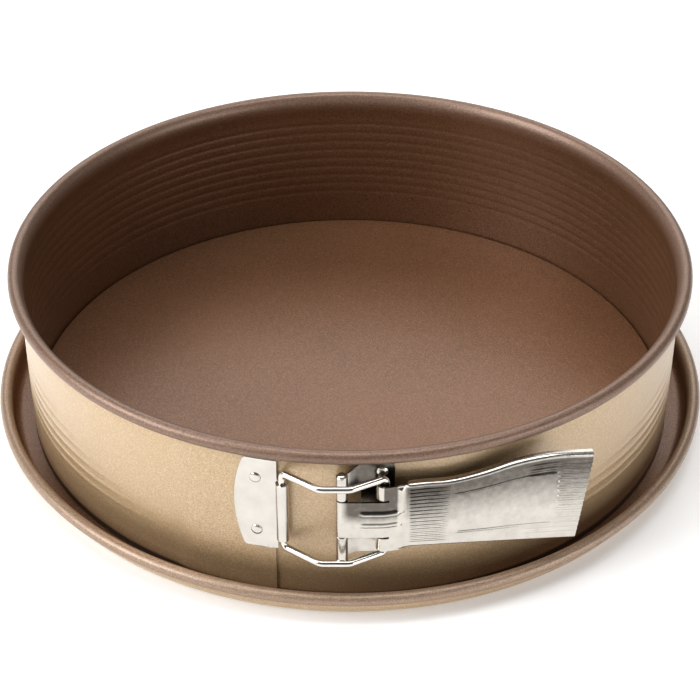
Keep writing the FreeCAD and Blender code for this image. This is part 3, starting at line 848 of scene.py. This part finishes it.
def lever_press(x, z, share):
    """How far the sheet is pressed outward: stiffening ridges, handle ribs and a plain panel.

    share is how far up the sheet a point lies, from its lower edge to its upper one."""
    above = z - CLASP_MIDDLE
    pressed = np.zeros_like(x)
    # two L-shaped stiffening ridges, along the tongue and then out towards each edge
    along = smooth_step(x, 1.5, 5.0) * (1 - smooth_step(x, 16.2, BAR_AT))
    for height, width, depth in TONGUE_RIDGES:
        pressed = np.maximum(pressed, ridge(above - height, width, depth) * along)
    across = smooth_step(np.abs(above), 2.0, 3.4) * (1 - smooth_step(np.abs(above), 12.8, 13.8))
    bar = ridge(x - BAR_AT, BAR_WIDTH, np.where(above > 0, BAR_DEPTH_UPPER, BAR_DEPTH_LOWER))
    pressed = np.maximum(pressed, bar * across)
    # fine ribs along the handle, left plain inside a framed panel, above and below it, and along the edges
    rib_depth = 0.27 + 0.17 * smooth_step(share, 0.2, 0.7)
    ribs = rib_depth * (0.5 + 0.5 * np.cos(2 * np.pi * share * HANDLE_RIBS))
    on_handle = smooth_step(x, 19.8, 20.8)
    inside = smooth_step(share, 0.05, 0.09) * (1 - smooth_step(share, 0.91, 0.95))
    past_ends = np.maximum(PANEL_LEFT - x, x - PANEL_RIGHT)
    past_sides = np.maximum(PANEL_LOW - share, share - PANEL_HIGH) * HANDLE_HEIGHT
    past_panel = np.maximum(past_ends, past_sides)
    plain = 1 - smooth_step(past_panel, -0.4, 0.2)
    beside = 0.15 + 0.85 * smooth_step(np.abs(x - 48), 10, 18)
    frame_line = ridge(past_panel + 0.2, 0.8, 0.3)
    return pressed + on_handle * (inside * ribs * beside * (1 - plain) + frame_line)


def lever_painted_reflection(x, z, share):
    """A painted dark reflection and shade on the plate's upper half, left off the bright ridges and the
    rolled upper edge.
    """
    tongue = smooth_step(z, CLASP_MIDDLE - 2.5, CLASP_MIDDLE + 3.0) * (1 - smooth_step(x, 16.0, 16.8))
    tongue = tongue * (1 - 0.75 * ridge(z - CLASP_MIDDLE - 2.6, 1.3, 1.0) * smooth_step(x, 2.5, 4.5))
    tongue = tongue * smooth_step(x, PIVOT[0] - 1.0, PIVOT[0] + 2.5)
    handle = smooth_step(share, 0.30, 0.95) * (1 - smooth_step(share, 0.955, 0.975))
    return np.maximum(tongue, handle * smooth_step(x, 18.6, 19.6))


# the lever's grid: rows up the sheet and round a lip at each edge, columns from the handle's end inward
SHEET_CELLS = 132
LIP_ROWS = 3
HANDLE_COLUMNS = 112
NECK_COLUMNS = 64
ROLL_STEPS = 30


def handle_points(share, beyond):
    """The handle's points on one row, from its end to the fork, and how far a painted dark reflection darkens
    the plate there.

    beyond is how far the row lies round the turned-in lip, from 0 on the sheet to 1 at the lip's edge."""
    lip_depth = 1.5
    edge_bend = 1.3
    end = LEVER_END_LOW + (LEVER_END_HIGH - LEVER_END_LOW) * share
    x = LEVER_FORK + (end - LEVER_FORK) * np.linspace(0, 1, HANDLE_COLUMNS)[::-1]
    low, high = lever_low(x), lever_high(x)
    z = low + share * (high - low)
    turned_in = smooth_step(x, LEVER_NECK + 0.5, LEVER_NECK + 3)
    near = np.clip(1 - np.minimum(z - low, high - z) / edge_bend, 0, 1)
    drop = (edge_bend * (1 - np.sqrt(np.maximum(1 - near ** 2, 0))) + beyond * lip_depth) * turned_in
    out = lever_press(x, z, np.full_like(x, share)) - drop
    slope = lever_slope(x)
    size = np.sqrt(1 + slope ** 2)
    return np.stack([x + out * slope / size, lever_face(x) - out / size, z], -1), lever_painted_reflection(x, z, share)


def neck_points(share):
    """The points of one row from the fork inward: the tongue rolled round the pin, or a wing's curl."""
    z = WING[0] + share * (WING[1] - WING[0])
    is_tongue = EYE[0] <= z <= EYE[1]
    x = np.linspace(LEVER_FORK, PIVOT[0] if is_tongue else CURL[0], NECK_COLUMNS - ROLL_STEPS + 1)[1:]
    y = lever_face(x)
    if is_tongue:
        lean = smooth_step(x, LEVER_KNEE, PIVOT[0])
        pressed = lever_press(x, np.full_like(x, z), np.full_like(x, share))
        y = y * (1 - lean) + (PIVOT[1] - PIVOT_TUBE_RADIUS) * lean - pressed
        rolled = roll(PIVOT, PIVOT_TUBE_RADIUS, -90, -285, ROLL_STEPS)[1:]
    else:
        rolled = roll(CURL, CURL_RADIUS, -90, -180, ROLL_STEPS)[1:]
    flat = [(px, py, z) for px, py in zip(x, y)]
    # painted dark reflection on the flat part, none on the rolls
    painted_reflection = np.concatenate([lever_painted_reflection(x, z, share), np.zeros(ROLL_STEPS)])
    return np.array(flat + [(px, py, z) for px, py in rolled]), painted_reflection


def lever_cells(shares):
    """Which cells of the lever's grid exist: none in the slits beside the tongue, and no lip on the neck."""
    keep = np.ones((len(shares) - 1, HANDLE_COLUMNS + NECK_COLUMNS - 1), bool)
    cell = np.arange(len(shares) - 1) - LIP_ROWS + 0.5
    z = WING[0] + cell / SHEET_CELLS * (WING[1] - WING[0])
    slits = ((z > EYE[0] - SLIT) & (z < EYE[0])) | ((z > EYE[1]) & (z < EYE[1] + SLIT))
    row_z = WING[0] + shares * (WING[1] - WING[0])
    is_tongue = (row_z >= EYE[0]) & (row_z <= EYE[1])
    crossing = is_tongue[:-1] != is_tongue[1:]
    keep[slits | crossing, HANDLE_COLUMNS - 1:] = False
    lips = (cell < 0) | (cell > SHEET_CELLS)
    lip_start = LEVER_NECK + 1.2
    middling_end = 82.0
    stations = LEVER_FORK + (middling_end - LEVER_FORK) * np.linspace(0, 1, HANDLE_COLUMNS)[::-1]
    keep[np.ix_(lips, np.concatenate([stations[1:] < lip_start, np.ones(NECK_COLUMNS, bool)]))] = False
    return keep


def make_lever():
    """One sheet: rolled eye, tongue, two curled wings and a ribbed handle with turned-in edges."""
    rows = np.arange(-LIP_ROWS, SHEET_CELLS + LIP_ROWS + 1)
    shares = np.clip(rows / SHEET_CELLS, 0, 1)
    round_lip = np.maximum(np.maximum(-rows, rows - SHEET_CELLS), 0) / LIP_ROWS
    grid = []
    painted_reflection = []
    for share, beyond in zip(shares, round_lip):
        handle, handle_painted_reflection = handle_points(share, beyond)
        neck, neck_painted_reflection = neck_points(share)
        grid.append(np.concatenate([handle, neck]))
        painted_reflection.append(np.concatenate([handle_painted_reflection, neck_painted_reflection]))
    # the columns run leftward, so they are turned round to face outward
    grid, painted_reflection, keep = np.array(grid)[:, ::-1], np.array(painted_reflection)[:, ::-1], lever_cells(shares)[:, ::-1]
    lever = sheet_metal("clasp_lever_skin", grid, CLASP_SHEET, [NICKEL_SATIN] * 3, keep, painted_reflection=painted_reflection)
    soften(lever, 0.15)
    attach(lever, "lever")
    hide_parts("clasp_lever")


# ---------------------------------------------------------------- stage, light and camera

def plane(name, size, height):
    """A level square about the upright axis."""
    mesh = bpy.data.meshes.new(name)
    half = size / 2
    corners = [(-half, -half, 0), (half, -half, 0), (half, half, 0), (-half, half, 0)]
    mesh.from_pydata(corners, [], [(0, 1, 2, 3)])
    obj = bpy.data.objects.new(name, mesh)
    obj.location = (0, 0, height)
    bpy.context.scene.collection.objects.link(obj)
    return obj


def make_stage():
    """A pale floor just under the pan, which glows a little so that the undersides are not dark."""
    floor = plane("floor", 12, -0.0002)
    material = bpy.data.materials.new("pale_floor")
    shader = node_tree(material)[1]
    shader.inputs["Base Color"].default_value = (0.93, 0.93, 0.93, 1)
    shader.inputs["Roughness"].default_value = 0.9
    shader.inputs["Specular IOR Level"].default_value = 0.1
    shader.inputs["Emission Color"].default_value = (1, 1, 1, 1)
    shader.inputs["Emission Strength"].default_value = 0.25
    floor.data.materials.append(material)


def area_light(name, location, target, size, power):
    """A rectangular softbox that faces its target; metres and watts."""
    light = bpy.data.lights.new(name, "AREA")
    light.shape = "RECTANGLE"
    light.size, light.size_y = size
    light.energy = power
    lamp = bpy.data.objects.new(name, light)
    lamp.location = location
    lamp.rotation_euler = (Vector(target) - Vector(location)).to_track_quat("-Z", "Y").to_euler()
    bpy.context.scene.collection.objects.link(lamp)


def make_lights():
    """Studio walls, bright near the horizon, most on the left, and dim overhead; and four softboxes."""
    world = bpy.data.worlds.new("studio")
    world.use_nodes = True
    tree = world.node_tree
    background = tree.nodes["Background"]
    left_wall, right_wall, overhead = ((tone, tone, tone) for tone in (0.85, 0.35, 0.10))
    direction = tree.nodes.new("ShaderNodeSeparateXYZ")
    tree.links.new(tree.nodes.new("ShaderNodeTexCoord").outputs["Generated"], direction.inputs["Vector"])
    upward = ramp(tree, direction.outputs["Z"], 0.04, 0.32)
    walls = mix_colours(tree, ramp(tree, direction.outputs["X"], -0.7, 0.7), left_wall, right_wall)
    tree.links.new(mix_colours(tree, upward, walls, overhead), background.inputs["Color"])
    background.inputs["Strength"].default_value = 1.0
    bpy.context.scene.world = world
    area_light("left_softbox", (-1.3, -0.5, 0.95), (0, 0, 0.03), (1.1, 1.0), 25)
    area_light("right_softbox", (1.3, -0.9, 0.35), (0, 0, 0.03), (1.0, 0.6), 6.5)
    area_light("back_softbox", (0.0, 1.3, 1.2), (0, 0, 0), (1.8, 1.0), 11)
    area_light("overhead_strip", (0.0, -0.1, 1.3), (0, -0.1, 0), (1.2, 0.6), 9)


def make_camera():
    """The camera looks down the front of the pan at a point on its axis."""
    distance = 0.7586
    elevation = math.radians(35.09)
    aim = Vector((0, 0, 0.01846))
    focal_length = 94.4
    sensor_width = 36
    camera = bpy.data.objects.new("camera", bpy.data.cameras.new("camera"))
    camera.data.lens = focal_length
    camera.data.sensor_width = sensor_width
    camera.location = aim + Vector((0, -math.cos(elevation), math.sin(elevation))) * distance
    camera.rotation_euler = (math.pi / 2 - elevation, 0, 0)
    bpy.context.scene.collection.objects.link(camera)
    bpy.context.scene.camera = camera


make_base()
make_band()
make_hinge_plate()
for rivet_name in ("hinge_rivet_upper", "hinge_rivet_lower"):
    make_rivet(rivet_name, "ring_left")
for rivet_name in ("bracket_rivet_upper", "bracket_rivet_lower"):
    make_rivet(rivet_name, "ring")
make_bracket()
make_pin()
make_bail()
make_lever()
make_stage()
make_lights()
make_camera()
bpy.context.scene.view_settings.view_transform = "Standard"
